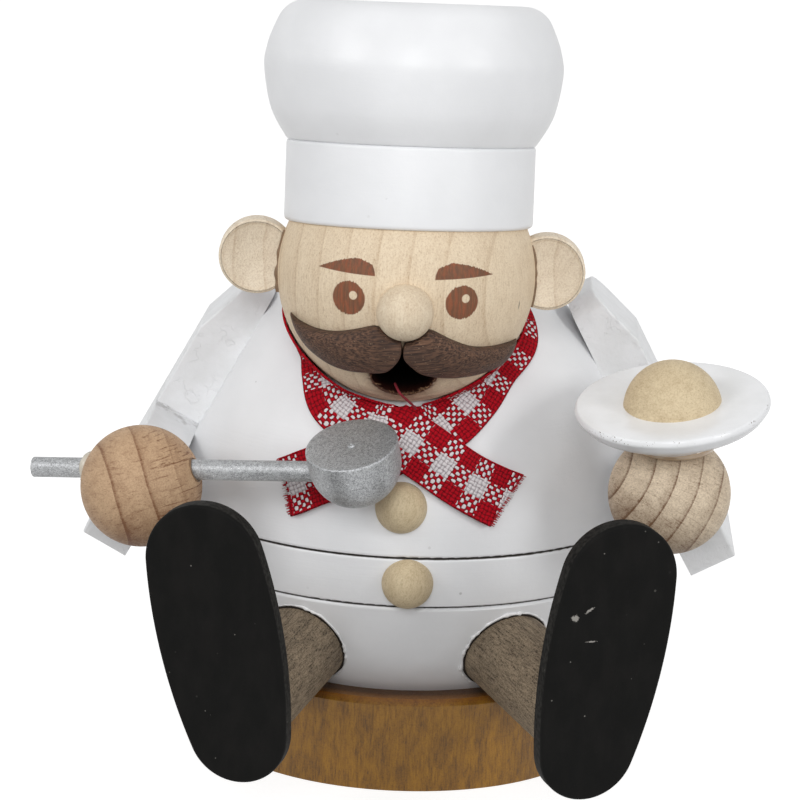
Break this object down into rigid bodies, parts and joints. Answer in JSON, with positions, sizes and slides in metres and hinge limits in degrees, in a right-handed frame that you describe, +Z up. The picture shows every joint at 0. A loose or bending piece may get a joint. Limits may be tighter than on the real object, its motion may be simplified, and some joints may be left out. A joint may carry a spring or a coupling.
{
  "type": "german incense smoker",
  "caption": "Seated wooden cook whose round jacket lifts off a fire bowl, so an incense cone on the dish smokes out of the open mouth.",
  "frame": {"origin": "middle of the flat underside of the base disc", "axes": "+Z up through the hat, -Y is the way the figure looks, +X is the side of the hand with the plate"},
  "size_m": [0.1469, 0.1363, 0.1635],
  "materials": {
    "stained_base": "yellow brown stain under satin lacquer",
    "white_paint": "white satin paint on turned wood",
    "maple": "bare maple under matt lacquer",
    "beech": "bare beech under matt lacquer",
    "beech_dowel": "bare dowel",
    "dark_stain": "dark brown stain",
    "silver_paint": "silver paint with metal flake",
    "grey_stain": "grey brown stain",
    "black_paint": "black matt paint",
    "tin": "pressed tinplate, satin",
    "steel": "bright nail",
    "gingham": "woven red and white check ribbon"
  },
  "bodies": {
    "lower_body": {"base_disc": "stained_base", "lower_bowl": "white_paint", "waist_ring": "white_paint", "incense_dish": "tin", "dish_nail": "steel", "button_lower": "maple", "leg_left": "grey_stain", "leg_right": "grey_stain", "shoe_left": "black_paint", "shoe_right": "black_paint", "shoe_dowels": "beech_dowel"},
    "upper_body": {"jacket": "white_paint", "head": "maple", "nose": "maple", "ear_left": "maple", "ear_right": "maple", "moustache_left": "dark_stain", "moustache_right": "dark_stain", "hat": "white_paint", "hat_dowel": "beech_dowel", "button_upper": "maple", "sleeve_left": "white_paint", "sleeve_right": "white_paint", "arm_dowels": "beech_dowel", "hand_left": "beech", "hand_right": "beech", "wrist_dowels": "beech_dowel", "ladle_handle": "silver_paint", "ladle_bowl": "silver_paint", "plate": "white_paint", "dumpling": "maple", "scarf": "gingham"}
  },
  "joints": [
    {"name": "jacket_lift", "type": "slide", "parent": "lower_body", "child": "upper_body", "axis": [0, 0, 1], "range_m": [0, 0.045]}
  ]
}
